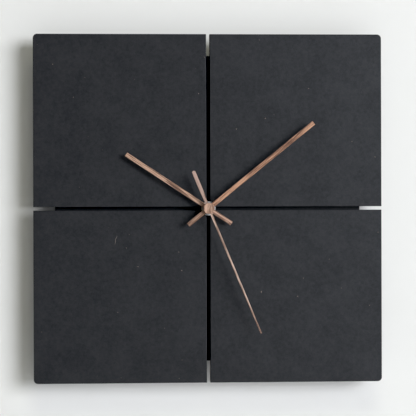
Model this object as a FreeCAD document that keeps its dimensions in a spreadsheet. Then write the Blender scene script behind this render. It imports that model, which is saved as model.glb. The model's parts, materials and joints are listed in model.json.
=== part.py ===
import FreeCAD, Part
import math
import os

import Sketcher
from FreeCAD import Placement, Rotation, Vector

# A square wall clock: four dark fibreboard tiles with a cross-shaped gap between them stand on a
# smaller backing board, and a battery movement in the board's back turns three walnut hands.
#
# +X is to the reader's right, +Y goes into the wall and +Z is up. Every sub-part is drawn about the
# hands' axis, with "depth" measured from the wall towards the reader, and its Placement then lowers it,
# so that the origin is where the wall screw bears in the hanger, on the wall.

SHEET = {
    "Case work": [
        ("clock_side", 300, "width and height over the four tiles"),
        ("tile_gap", 3, "gap between tiles"),
        ("tile_thick", 8, "tile thickness"),
        ("tile_corner", 3.6, "radius of a tile's outer corner"),
        ("tile_ease", 0.5, "rounding of a tile's front edges"),
        ("tile_notch", 4.3, "radius cleared in the tiles for the bush"),
        ("board_inset", 18, "tiles' overhang past the backing board"),
        ("board_thick", 18, "backing board thickness"),
        ("web_thick", 1.6, "board left in front of the movement"),
        ("pocket_side", 58, "side of the movement's pocket in the board"),
        ("pocket_corner", 3, "radius of the pocket's corners"),
        ("screw_near", 40, "tile screw, nearer distance from the axis"),
        ("screw_far", 110, "tile screw, further distance from the axis"),
        ("screw_hole", 1.9, "radius of the screw's hole in the board"),
        ("screw_head", 3.5, "radius of a tile screw's head"),
        ("screw_shank", 1.45, "radius of a tile screw's shank"),
        ("screw_pilot", 1.5, "radius of the pilot hole in a tile"),
        ("screw_start", 0.3, "depth of a screw's head below the board's back"),
        ("screw_rim", 0.3, "straight rim of a screw's head"),
        ("screw_long", 23.5, "length of a tile screw"),
        ("pilot_over", 0.4, "pilot hole past the end of its screw"),
        ("cut_over", 1, "how far a cut runs past the face that it opens"),
        ("fit_play", 0.05, "gap round a part that is held or fixed"),
    ],
    "Hanger": [
        ("axis_drop", 117, "wall screw's seat above the hands' axis"),
        ("slot_rise", 9, "seat above the centre of the eye"),
        ("slot_half", 2.5, "half the slot's width"),
        ("eye_radius", 4.75, "radius of the eye that the screw's head passes"),
        ("plate_wide", 48, "hanger plate width"),
        ("plate_tall", 23, "hanger plate height"),
        ("plate_above", 6, "hanger plate's top above the seat"),
        ("plate_thick", 1.5, "hanger plate thickness"),
        ("plate_play", 0.2, "gap round the plate in its recess"),
        ("plate_screw", 18, "plate screw from the middle"),
        ("plate_screw_head", 2.8, "radius of a plate screw's head"),
        ("plate_screw_shank", 1.25, "radius of a plate screw's shank"),
        ("plate_screw_long", 12, "length of a plate screw"),
        ("plate_screw_start", 0.1, "depth of its head below the plate's rear face"),
        ("plate_screw_rim", 0.45, "rim of its hole in the plate past its head"),
        ("plate_well", 0.6, "depth of the board's well round it, behind the plate"),
        ("plate_well_rim", 0.5, "rim of that well past the screw's cone"),
        ("head_room_lap", 0.5, "how far the routed room reaches into the plate's recess"),
        ("head_room_half", 6.5, "half the width routed for the wall screw's head"),
        ("head_room_deep", 10, "depth routed behind the plate"),
    ],
    "Movement case": [
        ("case_side", 56, "movement width and height"),
        ("case_back", 1.5, "depth of the case's rear edge"),
        ("case_front", 15.9, "depth of the case's front face"),
        ("case_wall", 1.2, "case wall thickness"),
        ("case_corner", 2, "radius of the case's corners"),
        ("cover_back", 0.3, "depth of the cover's rear face"),
        ("divider_top", 10.4, "wall above the battery, below the axis"),
        ("divider_thick", 1, "thickness of that wall"),
        ("pillar_radius", 1.5, "radius of the pillars that hold the plates"),
        ("pillar_pin", 0.7, "radius of the pins on the pillars"),
        ("pillar_x", 22.5, "pillars from the axis"),
        ("pillar_low", -7, "height of the lower pillars"),
        ("pillar_high_left", 5.5, "height of the upper left pillar"),
        ("pillar_high_right", 15, "height of the upper right pillar"),
        ("bridge_back", 3.8, "depth of the bridge plate's rear face"),
        ("bridge_thick", 1, "bridge plate thickness"),
        ("middle_back", 9.3, "depth of the centre plate's rear face"),
        ("middle_thick", 0.9, "centre plate thickness"),
        ("train_half", 25, "half the width of both plates"),
        ("train_bottom", -9.8, "height of both plates' lower edge"),
        ("train_top", 18.6, "height of both plates' upper edge, below the coil"),
        ("train_step", 3.8, "where both plates step up beside the coil"),
        ("train_high", 21.6, "height of their upper edge beyond the step"),
        ("crystal_notch_x", -19, "bridge plate's notch for the crystal, right edge"),
        ("crystal_notch_z", 8, "bridge plate's notch for the crystal, lower edge"),
        ("boss_back", 13.3, "depth of the front bosses' rear ends"),
        ("boss_radius", 1.6, "radius of the front bosses"),
        ("strip_slot_half", 0.5, "slots for the contact strips, past the wall on each side"),
        ("foot_radius", 1.4, "radius of the bridge plate's feet on the circuit board"),
    ],
    "Circuit": [
        ("circuit_back", 2.4, "depth of the circuit board's rear face"),
        ("circuit_thick", 0.8, "circuit board thickness"),
        ("circuit_half", 26.2, "half the circuit board's width"),
        ("circuit_bottom", 9, "height of its lower edge"),
        ("circuit_top", 26, "height of its upper edge"),
        ("knob_opening", 5.4, "radius cut out of the board for the knob"),
        ("post_gap", 0.3, "gap round a pillar in the circuit board"),
        ("crystal_radius", 1, "radius of the quartz crystal's can"),
        ("crystal_long", 6, "length of the can"),
        ("crystal_ease", 0.3, "rounding of the can's ends"),
        ("crystal_x", -22, "can from the axis"),
        ("chip_radius", 2.6, "radius of the potted driver chip"),
        ("chip_thick", 0.6, "its height"),
        ("chip_ease", 0.4, "rounding of its edge"),
        ("stator_half", 12.5, "half the stator's length"),
        ("stator_back", 5.5, "depth of the stator's rear face"),
        ("stator_thick", 0.6, "stator thickness"),
        ("stator_low", 4, "stator below and above the rotor's axis"),
        ("stator_arm", 3.5, "width of the stator's arms"),
        ("stator_tall", 10.8, "stator's arms above the rotor's axis"),
        ("stator_hole", 3.5, "radius of the hole round the magnet"),
        ("coil_rise", 8.3, "coil above the rotor's axis"),
        ("core_tall", 3, "coil core height"),
        ("core_thick", 1, "coil core thickness"),
        ("core_ease", 0.1, "rounding of its long edges"),
        ("bobbin_radius", 3, "radius of the bobbin's cheeks"),
        ("bobbin_tube", 1.9, "radius of the bobbin's tube"),
        ("bobbin_half", 8.7, "half the bobbin's length"),
        ("cheek_thick", 0.9, "thickness of its cheeks"),
        ("winding_radius", 2.75, "radius of the winding"),
    ],
    "Battery": [
        ("cell_radius", 7.1, "AA cell radius"),
        ("cell_long", 49.2, "cell length without its nub"),
        ("cell_ease", 0.8, "rounding of its ends"),
        ("nub_radius", 2.75, "radius of the nub"),
        ("nub_long", 1.3, "length of the nub"),
        ("cell_drop", 19.2, "cell below the axis"),
        ("cell_depth", 7.5, "depth of the cell's axis"),
        ("strip_thick", 0.3, "contact strip thickness"),
        ("strip_back", 5, "depth of a strip's rear edge"),
        ("strip_wide", 5, "width of a strip"),
        ("strip_foot", -24, "height of a strip's lower end"),
        ("strip_bend_low", -21.8, "lower bend of its spring"),
        ("strip_bend_high", -16.6, "upper bend of its spring"),
        ("strip_end", 11, "height of a strip's upper end"),
    ],
    "Gear train": [
        ("gear_play", 0.06, "tooth thickness taken off for backlash"),
        ("pivot_radius", 0.4, "radius of a pivot"),
        ("pivot_hole", 0.46, "radius of a pivot's hole"),
        ("pivot_short", 0.1, "pivot's end inside its plate"),
        ("front_pivot_short", 0.3, "pivot's end below the case's front wall"),
        ("arbor_radius", 0.8, "radius of an arbor between wheel and pinion"),
        ("shoulder", 0.3, "arbor or hub past its wheel"),
        ("first_back", 5.4, "depth of the seconds wheel's layer"),
        ("second_back", 6.7, "depth of the third and fifth wheels' layer"),
        ("third_back", 8, "depth of the centre wheel's layer"),
        ("fourth_back", 10.8, "depth of the minute wheel's layer"),
        ("fifth_back", 12.1, "depth of the hour wheel's layer"),
        ("wheel_thick", 0.7, "wheel thickness"),
        ("pinion_over", 0.15, "pinion past its wheel on each side"),
        ("third_distance", 10.2, "third wheel from the axis"),
        ("third_bearing", 30, "its direction, anticlockwise from +X"),
        ("fifth_distance", 10.5, "fifth wheel from the axis"),
        ("fifth_bearing", 150, "its direction"),
        ("rotor_distance", 9, "rotor from the fifth wheel"),
        ("rotor_bearing", 95, "its direction"),
        ("minute_distance", 9.6, "minute wheel from the axis, and from the knob"),
        ("minute_bearing", 75, "its direction from the axis"),
        ("knob_bearing", 50, "the knob's direction from the minute wheel"),
        ("magnet_radius", 3, "rotor magnet radius"),
        ("magnet_back", 5.2, "depth of the magnet's rear face"),
        ("magnet_thick", 1.2, "magnet thickness"),
        ("knob_radius", 4, "setting knob radius"),
        ("knob_back", 0.5, "depth of the knob's rear face"),
        ("knob_thick", 1.5, "knob thickness"),
        ("knob_recess", 4.3, "radius of the knob's recess in the cover"),
        ("knob_floor_gap", 0.3, "gap between the knob and that recess's floor"),
        ("knob_cup", 0.7, "wall of the cup round that recess"),
        ("knob_cup_deep", 1.4, "depth of the cup behind the cover"),
        ("knob_stem", 1, "radius of the knob's stem"),
        ("knob_bearing_hole", 1.07, "radius of the stem's hole in the cover"),
        ("knob_passage", 3.1, "radius that the knob's pinion passes through"),
        ("knob_notch", 0.35, "radius of the grip notches"),
    ],
    "Centre arbors": [
        ("wire_radius", 0.5, "seconds arbor radius"),
        ("wire_ease", 0.1, "rounding of its ends"),
        ("wire_front", 38.7, "depth of the seconds arbor's front end"),
        ("minute_bore", 0.58, "bore of the minute arbor"),
        ("minute_tube", 1.7, "radius of the minute arbor"),
        ("minute_journal", 2, "radius of the minute arbor in the centre plate"),
        ("minute_back", 7.75, "depth of the minute arbor's rear end"),
        ("minute_front", 36.7, "depth of its front end"),
        ("clutch_bore", 1.76, "bore of the centre wheel"),
        ("hour_bore", 1.78, "bore of the hour wheel"),
        ("hour_tube", 2.5, "radius of the hour wheel's pipe"),
        ("hour_front", 33.9, "depth of its front end"),
        ("running_play", 0.08, "radial play of a journal"),
        ("bush_bore", 2.58, "bore of the threaded bush"),
        ("bush_radius", 4, "radius over the bush's thread"),
        ("bush_back", 13.9, "depth of the bush's rear face"),
        ("bush_flange", 6, "radius of its flange"),
        ("bush_front", 30.3, "depth of its front end"),
        ("gasket_radius", 9, "radius of the rubber gasket"),
        ("washer_radius", 6, "radius of the brass washer"),
        ("washer_bore", 4.1, "bore of the washer and gasket"),
        ("washer_thick", 0.5, "washer thickness"),
        ("nut_flats", 10, "hex nut across flats"),
        ("nut_thick", 2, "nut thickness"),
    ],
    "Hands": [
        ("hour_turn", 303.4, "hour hand at rest, clockwise from twelve"),
        ("minute_turn", 51, "minute hand at rest"),
        ("second_turn", 157.4, "second hand at rest"),
        ("hour_reach", 84.3, "hour hand's tip from the axis"),
        ("hour_tail", 23.5, "its tail from the axis"),
        ("hour_wide", 3.5, "its width"),
        ("minute_reach", 116, "minute hand's tip from the axis"),
        ("minute_tail", 22.5, "its tail from the axis"),
        ("minute_wide", 3.6, "its width"),
        ("second_reach", 115.6, "second hand's tip from the axis"),
        ("second_tail", 34.6, "its tail from the axis"),
        ("second_root", 1.7, "its width beside the axis"),
        ("second_tip", 1.05, "its width at the tip"),
        ("tail_root", 2, "width of its tail beside the axis"),
        ("tail_wide", 3, "width of the tail's paddle"),
        ("tail_widest", 17, "where the tail reaches that width"),
        ("hand_thick", 1.2, "hour and minute hand thickness"),
        ("second_thick", 1, "second hand thickness"),
        ("hour_depth", 32.3, "depth of the hour hand's rear face"),
        ("minute_depth", 35.1, "depth of the minute hand's rear face"),
        ("second_depth", 37.9, "depth of the second hand's rear face"),
        ("hour_eye", 4.3, "radius of the hour hand's eye"),
        ("minute_eye", 3.6, "radius of the minute hand's eye"),
        ("second_eye", 2.9, "radius of the second hand's eye"),
        ("hour_collar", 3, "radius of the hour hub's collar"),
        ("minute_collar", 2.2, "radius of the minute hub's collar"),
        ("second_collar", 1.2, "radius of the second hub's collar"),
        ("hour_plate", 6, "radius of the hour hub's plate"),
        ("minute_plate", 3.4, "radius of the minute hub's plate"),
        ("second_plate", 2.6, "radius of the second hub's plate"),
        ("hour_plate_thick", 0.6, "thickness of the hour hub's plate"),
        ("small_plate_thick", 0.4, "thickness of the other hubs' plates"),
        ("collar_play", 0.03, "gap between a collar and its wood"),
        ("cap_radius", 4.7, "centre cap radius"),
        ("cap_thick", 1.6, "centre cap thickness"),
        ("cap_ease", 0.4, "rounding of the cap's front edge"),
    ],
}

# Tooth counts. The train divides by 60 from seconds to minutes, and the motion work by 12.
ROTOR, FIFTH_WHEEL, FIFTH_PINION = 12, 60, 10
SECONDS_WHEEL, SECONDS_PINION = 60, 8
THIRD_WHEEL, THIRD_PINION, CENTRE_WHEEL = 60, 8, 64
CANNON, MINUTE_WHEEL, MINUTE_PINION, HOUR_WHEEL = 12, 36, 10, 40
KNOB_PINION, GRIP_NOTCHES = 12, 18

FIRST_RECESS, RECESS_STEP = 25, 37  # degrees by which the screws' recesses are turned, one after another

# Tooth proportions, in modules.
PRESSURE_ANGLE = math.radians(20)
SHIFT = 0.5
PINION_ADDENDUM, WHEEL_ADDENDUM, DEDENDUM = 0.75, 1.0, 1.25

START, END, CENTRE = 1, 2, 3  # Sketcher's numbers for a piece of geometry's points
ORIGIN, ACROSS, UP = (-1, 1), -1, -2  # and for the sketch's origin and its two axes
TO_READER = Rotation(Vector(1, 0, 0), 90)  # lays a primitive's axis along the depth
TO_RIGHT = Rotation(Vector(0, 1, 0), 90)  # lays it along +X
CLOCKWISE = Vector(0, 1, 0)  # the axis about which the hands turn forwards

TOUCHING = 1e-4  # two depths nearer than this are one

doc = FreeCAD.newDocument("wall_clock")
sheet = doc.addObject("Spreadsheet::Sheet", "Sizes")
nodes = []


def fill_sheet():
    row = 1
    for title, cells in SHEET.items():
        sheet.set(f"A{row}", title)
        for alias, value, meaning in cells:
            row += 1
            sheet.set(f"A{row}", alias)
            sheet.set(f"B{row}", str(value))
            sheet.set(f"C{row}", meaning)
            sheet.setAlias(f"B{row}", alias)
        row += 2
    doc.recompute()


class Size(float):
    """A length or an angle: a number that also carries the sheet expression it stands for."""

    def __new__(cls, value, text):
        size = super().__new__(cls, value)
        size.text = text
        return size

    def joined(self, sign, other, value, swapped=False):
        pair = (text_of(other), self.text) if swapped else (self.text, text_of(other))
        return Size(value, f"({pair[0]} {sign} {pair[1]})")

    def __add__(self, other):
        return self.joined("+", other, float(self) + float(other))

    def __radd__(self, other):
        return self.joined("+", other, float(other) + float(self), swapped=True)

    def __sub__(self, other):
        return self.joined("-", other, float(self) - float(other))

    def __rsub__(self, other):
        return self.joined("-", other, float(other) - float(self), swapped=True)

    def __mul__(self, other):
        return self.joined("*", other, float(self) * float(other))

    def __rmul__(self, other):
        return self.joined("*", other, float(other) * float(self), swapped=True)

    def __truediv__(self, other):
        return self.joined("/", other, float(self) / float(other))

    def __neg__(self):
        return Size(-float(self), f"(-{self.text})")


def text_of(value):
    return value.text if isinstance(value, Size) else repr(float(value))


class Cells:
    """The sheet's cells by alias, each as a Size."""

    def __getattr__(self, alias):
        return Size(sheet.get(alias), f"{sheet.Name}.{alias}")


def bind(made, name, value):
    made.setExpression(name, text_of(value))


def polar(distance, bearing):
    """Across and up, for a distance in a direction anticlockwise from +X."""
    turn = math.radians(bearing)
    across = Size(float(distance) * math.cos(turn), f"({distance.text} * cos({bearing.text} * 1 deg))")
    up = Size(float(distance) * math.sin(turn), f"({distance.text} * sin({bearing.text} * 1 deg))")
    return across, up


def node(made, label, place=(0, 0), turn=0):
    """Names a finished sub-part, and sets it at its place, turned clockwise by turn degrees."""
    made.Label = label
    made.Placement = Placement(Vector(0, 0, 0), Rotation(CLOCKWISE, float(turn)))
    bind(made, "Placement.Base.x", place[0])
    bind(made, "Placement.Base.z", place[1] - size.axis_drop)
    nodes.append(made)
    return made


# Sketches and features


def sketch(body, name, depth):
    """A sketch facing the reader, parallel to the wall."""
    wall = next(f for f in body.Origin.OriginFeatures if f.Role == "XZ_Plane")
    made = body.newObject("Sketcher::SketchObject", name)
    made.AttachmentSupport = (wall, [""])
    made.MapMode = "FlatFace"
    bind(made, "AttachmentOffset.Base.z", depth)
    return made


def dimension(drawn, kind, value, *geometry):
    index = drawn.addConstraint(Sketcher.Constraint(kind, *geometry, float(value)))
    bind(drawn, f"Constraints[{index}]", value)


def pin_point(drawn, index, point, across, up):
    """Fixes a point at its distances from the sketch's origin."""
    for kind, axis, value in (("DistanceX", UP, across), ("DistanceY", ACROSS, up)):
        if value == 0:
            drawn.addConstraint(Sketcher.Constraint("PointOnObject", index, point, axis))
        else:
            dimension(drawn, kind, value, *ORIGIN, index, point)


def circle(drawn, across, up, radius):
    centre = Vector(across, up, 0)
    index = drawn.addGeometry(Part.Circle(centre, Vector(0, 0, 1), float(radius)))
    pin_point(drawn, index, CENTRE, across, up)
    dimension(drawn, "Radius", radius, index)


def arc_between(first, last, radius):
    """The shorter arc from first to last, which turns left if radius is above 0."""
    chord = last - first
    rise = math.sqrt(radius**2 - (chord.Length / 2) ** 2)
    left = Vector(-chord.y, chord.x, 0).normalize()
    centre = (first + last) * 0.5 + left * math.copysign(rise, radius)
    turns = [math.atan2(p.y - centre.y, p.x - centre.x) for p in (first, last)]
    if radius < 0:
        turns.reverse()
    return Part.ArcOfCircle(Part.Circle(centre, Vector(0, 0, 1), abs(radius)), *turns)


def outline(drawn, corners):
    """A closed loop through corners. One with a third value is reached by an arc of that radius."""
    edges = []
    for before, corner in zip(corners[-1:] + corners[:-1], corners):
        first, last = (Vector(p[0], p[1], 0) for p in (before, corner))
        if len(corner) == 2:
            edges.append((drawn.addGeometry(Part.LineSegment(first, last)), START, END))
            continue
        radius = corner[2]
        index = drawn.addGeometry(arc_between(first, last, float(radius)))
        edges.append((index, START, END) if radius > 0 else (index, END, START))
        dimension(drawn, "Radius", radius if radius > 0 else -radius, index)
    for (index, _, finish), (following, begin, _), corner in zip(edges, edges[1:] + edges[:1], corners):
        drawn.addConstraint(Sketcher.Constraint("Coincident", index, finish, following, begin))
        pin_point(drawn, index, finish, corner[0], corner[1])


def rectangle(left, bottom, right, top):
    return [(left, bottom), (right, bottom), (right, top), (left, top)]


def rounded(half, radius):
    """A square about the axis with rounded corners, as an outline."""
    low, high = -half, half
    return [
        (low + radius, low, radius),
        (high - radius, low),
        (high, low + radius, radius),
        (high, high - radius),
        (high - radius, high, radius),
        (low + radius, high),
        (low, high - radius, radius),
        (low, low + radius),
    ]


def body_named(name):
    return doc.addObject("PartDesign::Body", name)


def extrusion(body, kind, drawn, length):
    """Adds or cuts from the sketch towards the reader."""
    made = body.newObject(kind, f"{kind.split('::')[1]}")
    made.Profile = drawn
    bind(made, "Length", length)
    made.Reversed = kind == "PartDesign::Pocket"
    drawn.Visibility = False
    return made


def profile(body, name, depth, corners, circles):
    drawn = sketch(body, name, depth)
    if corners:
        outline(drawn, corners)
    for across, up, radius in circles:
        circle(drawn, across, up, radius)
    return drawn


def pad(body, depth, length, corners=None, circles=()):
    return extrusion(body, "PartDesign::Pad", profile(body, "Profile", depth, corners, circles), length)


def pocket(body, depth, length, corners=None, circles=()):
    return extrusion(body, "PartDesign::Pocket", profile(body, "Cut", depth, corners, circles), length)


def hole_through(body, near, far, circles):
    """Cuts circles right through, from before near to past far."""
    return pocket(body, near - size.cut_over, far - near + 2 * size.cut_over, circles=circles)


# Primitives


def drum(radius, near, far, across=0, up=0):
    """A cylinder along the depth."""
    made = doc.addObject("Part::Cylinder", "Drum")
    made.Placement = Placement(Vector(0, 0, 0), TO_READER)
    bind(made, "Radius", radius)
    bind(made, "Height", far - near)
    for name, value in (("x", across), ("y", -near), ("z", up)):
        bind(made, f"Placement.Base.{name}", value)
    return made


def rod(radius, left, right, depth, up):
    """A cylinder along X."""
    made = doc.addObject("Part::Cylinder", "Rod")
    made.Placement = Placement(Vector(0, 0, 0), TO_RIGHT)
    bind(made, "Radius", radius)
    bind(made, "Height", right - left)
    for name, value in (("x", left), ("y", -depth), ("z", up)):
        bind(made, f"Placement.Base.{name}", value)
    return made


def block(left, right, near, far, bottom, top):
    made = doc.addObject("Part::Box", "Block")
    for name, value in (("Length", right - left), ("Width", far - near), ("Height", top - bottom)):
        bind(made, name, value)
    for name, value in (("x", left), ("y", -far), ("z", bottom)):
        bind(made, f"Placement.Base.{name}", value)
    return made


def union(*pieces):
    made = doc.addObject("Part::MultiFuse", "Union")
    made.Shapes = pieces
    made.Refine = True
    return made


def cut(base, tool):
    made = doc.addObject("Part::Cut", "Cut")
    made.Base = base
    made.Tool = tool
    return made


def ring(radius, bore, near, far):
    return cut(drum(radius, near, far), bored(bore, near, far))


def bored(radius, near, far):
    """A hole's cylinder along the depth, which runs past both faces."""
    return drum(radius, near - size.cut_over, far + size.cut_over)


def eased(base, radius, chosen):
    """Rounds the base's edges that chosen picks."""
    doc.recompute()
    made = doc.addObject("Part::Fillet", "Eased")
    made.Base = base
    edges = enumerate(base.Shape.Edges, 1)
    made.Edges = [(index, float(radius), float(radius)) for index, edge in edges if chosen(edge)]
    return made


def at_depth(depth):
    """Picks the edges that lie wholly at one depth."""

    def chosen(edge):
        box = edge.BoundBox
        return abs(box.YMin + depth) < TOUCHING and abs(box.YMax + depth) < TOUCHING

    return chosen


# Gears


def involute(angle):
    return math.tan(angle) - angle


def toothed(teeth, module, shift, addendum, near, far, play):
    """A toothed prism along the depth, with one tooth's middle on +X. Each flank is an arc that
    passes through three points of its involute."""
    pitch = module * teeth / 2
    base = pitch * math.cos(PRESSURE_ANGLE)
    tip = pitch + (addendum + shift) * module
    root = pitch - (DEDENDUM - shift) * module
    foot = max(base, root)
    half_at_pitch = (math.pi / 2 + 2 * shift * math.tan(PRESSURE_ANGLE)) / teeth - play / (2 * pitch)

    def half_at(radius):
        return half_at_pitch + involute(PRESSURE_ANGLE) - involute(math.acos(min(1, base / radius)))

    def point(radius, turn):
        return Vector(radius * math.cos(turn), -near, radius * math.sin(turn))

    edges = []
    radii = (foot, (foot + tip) / 2, tip)
    step = 2 * math.pi / teeth
    for number in range(teeth):
        middle = number * step
        rising = [point(r, middle - half_at(r)) for r in radii]
        falling = [point(r, middle + half_at(r)) for r in reversed(radii)]
        low = [point(root, middle - half_at(foot)), point(root, middle + half_at(foot))]
        following = point(root, middle + step - half_at(foot))
        if root < foot:
            edges.append(Part.makeLine(low[0], rising[0]))
        edges.append(Part.Arc(*rising).toShape())
        edges.append(Part.Arc(rising[2], point(tip, middle), falling[0]).toShape())
        edges.append(Part.Arc(*falling).toShape())
        if root < foot:
            edges.append(Part.makeLine(falling[2], low[1]))
        edges.append(Part.Arc(low[1], point(root, middle + step / 2), following).toShape())
    made = doc.addObject("Part::Feature", "Teeth")
    made.Shape = Part.Face(Part.Wire(edges)).extrude(Vector(0, near - far, 0))
    return made


def wheel_teeth(teeth, partner, distance, near):
    """The teeth of a wheel that meets a pinion of partner teeth at a centre distance."""
    module = 2 * float(distance) / (teeth + partner)
    far = float(near + size.wheel_thick)
    return toothed(teeth, module, -SHIFT, WHEEL_ADDENDUM, float(near), far, float(size.gear_play))


def pinion_teeth(teeth, partner, distance, near):
    """The teeth of a pinion that meets a wheel of partner teeth, whose rear face is at near."""
    module = 2 * float(distance) / (teeth + partner)
    over = float(size.pinion_over)
    far = float(near + size.wheel_thick) + over
    return toothed(teeth, module, SHIFT, PINION_ADDENDUM, float(near) - over, far, float(size.gear_play))


def meshed(turn, teeth, partner, bearing):
    """How far a gear of partner teeth is turned, anticlockwise, for a gap to face a tooth of a gear
    of so many teeth that is turned by turn, in the direction bearing. All in degrees."""
    pitches_off = (float(bearing) - turn) * teeth / 360
    return float(bearing) + 180 - (0.5 - pitches_off) * 360 / partner


# Case work


def build_backing_board():
    board = body_named("BackingBoard")
    half = size.clock_side / 2 - size.board_inset
    web_back = size.board_thick - size.web_thick
    pad(board, 0, size.board_thick, rectangle(-half, -half, half, half))
    pocket(board, 0, web_back, rounded(size.pocket_side / 2, size.pocket_corner))
    hole_through(board, web_back, size.board_thick, [(0, 0, size.tile_notch)])
    play = size.plate_play
    plate_top = size.axis_drop + size.plate_above
    plate_half = size.plate_wide / 2
    plate_low = plate_top - size.plate_tall
    recess = rectangle(-plate_half - play, plate_low - play, plate_half + play, plate_top + play)
    pocket(board, 0, size.plate_thick, recess)
    room = size.head_room_half
    eye_up = size.axis_drop - size.slot_rise
    routed = rectangle(-room, eye_up, room, size.axis_drop)
    behind = size.plate_thick - size.head_room_lap
    deep = size.head_room_deep + size.head_room_lap
    pocket(board, behind, deep, routed)
    pocket(board, behind, deep, circles=[(0, eye_up, room)])
    pocket(board, behind, deep, circles=[(0, size.axis_drop, room)])
    plate_middle = plate_top - size.plate_tall / 2
    pilots = [(side * size.plate_screw, plate_middle, size.plate_screw_shank) for side in (-1, 1)]
    pocket(board, 0, size.plate_screw_long + size.cut_over, circles=pilots)
    well = size.plate_screw_head - size.plate_thick + size.plate_well_rim
    pocket(board, 0, size.plate_thick + size.plate_well, circles=[(x, z, well) for x, z, _ in pilots])
    through = size.board_thick + size.cut_over
    pocket(board, 0, through, circles=[(x, z, size.screw_hole) for x, z in tile_screw_places()])
    mouth = size.screw_head + size.screw_start + size.screw_rim + size.fit_play
    mouths = [(x, z, mouth) for x, z in tile_screw_places()]
    countersink = pocket(board, 0, mouth - size.screw_hole, circles=mouths)
    countersink.TaperAngle = -45
    node(board, "backing_board")


def tile_screw_places():
    near, far = size.screw_near, size.screw_far
    quarter = ((near, far), (far, near))
    return [(sx * x, sz * z) for x, z in quarter for sx in (-1, 1) for sz in (-1, 1)]


def build_tile(label, sx, sz):
    tile = body_named(label.title().replace("_", ""))
    near, far, corner = size.tile_gap / 2, size.clock_side / 2, size.tile_corner
    inner_x, outer_x, inner_z, outer_z = sx * near, sx * far, sz * near, sz * far
    shape = [
        (inner_x, inner_z),
        (outer_x, inner_z),
        (outer_x, outer_z - sz * corner),
        (outer_x - sx * corner, outer_z, sx * sz * corner),
        (inner_x, outer_z),
    ]
    pad(tile, size.board_thick, size.tile_thick, shape)
    front = size.board_thick + size.tile_thick
    ease_front(tile, front, size.tile_ease)
    hole_through(tile, size.board_thick, front, [(0, 0, size.tile_notch)])
    screws = [(x, z, size.screw_pilot) for x, z in tile_screw_places() if x * sx > 0 and z * sz > 0]
    pilot_end = size.screw_start + size.screw_long + size.pilot_over
    pilot_start = size.board_thick - size.cut_over
    pocket(tile, pilot_start, pilot_end - pilot_start, circles=screws)
    node(tile, label)


def ease_front(body, depth, radius):
    """Rounds every edge of the face at one depth."""
    doc.recompute()
    before = body.Tip
    made = body.newObject("PartDesign::Fillet", "Ease")
    chosen = at_depth(float(depth))
    names = [f"Edge{i}" for i, edge in enumerate(before.Shape.Edges, 1) if chosen(edge)]
    made.Base = (before, names)
    bind(made, "Radius", radius)


def countersunk_screw(head, shank, length):
    """A screw along the depth from depth 0, with a cross recess in its head."""
    slope = head - shank
    tip_long, tip_radius = shank * 1.2, 0.2
    rim = float(size.screw_rim)
    head_profile = [(0, 0), (head, 0), (head, rim), (shank, slope + rim)]
    tip_profile = [(shank, length - tip_long), (tip_radius, length), (0, length)]
    points = [Vector(across, -depth, 0) for across, depth in head_profile + tip_profile]
    turned = Part.Face(Part.makePolygon(points + points[:1])).revolve(Vector(0, 0, 0), CLOCKWISE, 360)
    long, wide, deep = head * 1.2, head * 0.24, head * 0.4
    first = Part.makeBox(long, deep, wide, Vector(-long / 2, -deep, -wide / 2))
    second = Part.makeBox(wide, deep, long, Vector(-wide / 2, -deep, -long / 2))
    return turned.cut(first.fuse(second))


def screw_group(label, shape, places, depth):
    made = doc.addObject("Part::Feature", label)
    copies = []
    for index, (x, z) in enumerate(places):
        copy = shape.copy()
        copy.rotate(Vector(0, 0, 0), CLOCKWISE, FIRST_RECESS + RECESS_STEP * index)
        copy.translate(Vector(float(x), -float(depth), float(z)))
        copies.append(copy)
    made.Shape = Part.makeCompound(copies)
    node(made, label)


def build_screws():
    tile_screw = countersunk_screw(float(size.screw_head), float(size.screw_shank), float(size.screw_long))
    screw_group("tile_screws", tile_screw, tile_screw_places(), size.screw_start)
    head, shank = float(size.plate_screw_head), float(size.plate_screw_shank - size.fit_play)
    plate_screw = countersunk_screw(head, shank, float(size.plate_screw_long))
    middle = size.axis_drop + size.plate_above - size.plate_tall / 2
    places = [(side * size.plate_screw, middle) for side in (-1, 1)]
    screw_group("hanger_screws", plate_screw, places, size.plate_screw_start)


def build_hanger_plate():
    half, thick = size.plate_wide / 2, size.plate_thick
    top = size.axis_drop + size.plate_above
    bottom = top - size.plate_tall
    eye_up = size.axis_drop - size.slot_rise
    near, far = -size.cut_over, thick + size.cut_over
    holes = [
        drum(size.eye_radius, near, far, 0, eye_up),
        drum(size.slot_half, near, far, 0, size.axis_drop),
        block(-size.slot_half, size.slot_half, near, far, eye_up, size.axis_drop),
    ]
    for side in (-1, 1):
        cone = doc.addObject("Part::Cone", "Countersink")
        cone.Placement = Placement(Vector(0, 0, 0), TO_READER)
        bind(cone, "Radius1", size.plate_screw_head + size.plate_screw_rim)
        bind(cone, "Radius2", size.plate_screw_head + size.plate_screw_rim - thick)
        bind(cone, "Height", thick)
        bind(cone, "Placement.Base.x", side * size.plate_screw)
        bind(cone, "Placement.Base.z", top - size.plate_tall / 2)
        holes.append(cone)
    plate = cut(block(-half, half, 0, thick, bottom, top), union(*holes))
    node(plate, "hanger_plate")


# Movement: case, plates and circuit


def pillar_places():
    return [
        (size.pillar_x, size.pillar_low),
        (size.pillar_x, size.pillar_high_right),
        (-size.pillar_x, size.pillar_low),
        (-size.pillar_x, size.pillar_high_left),
    ]


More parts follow.
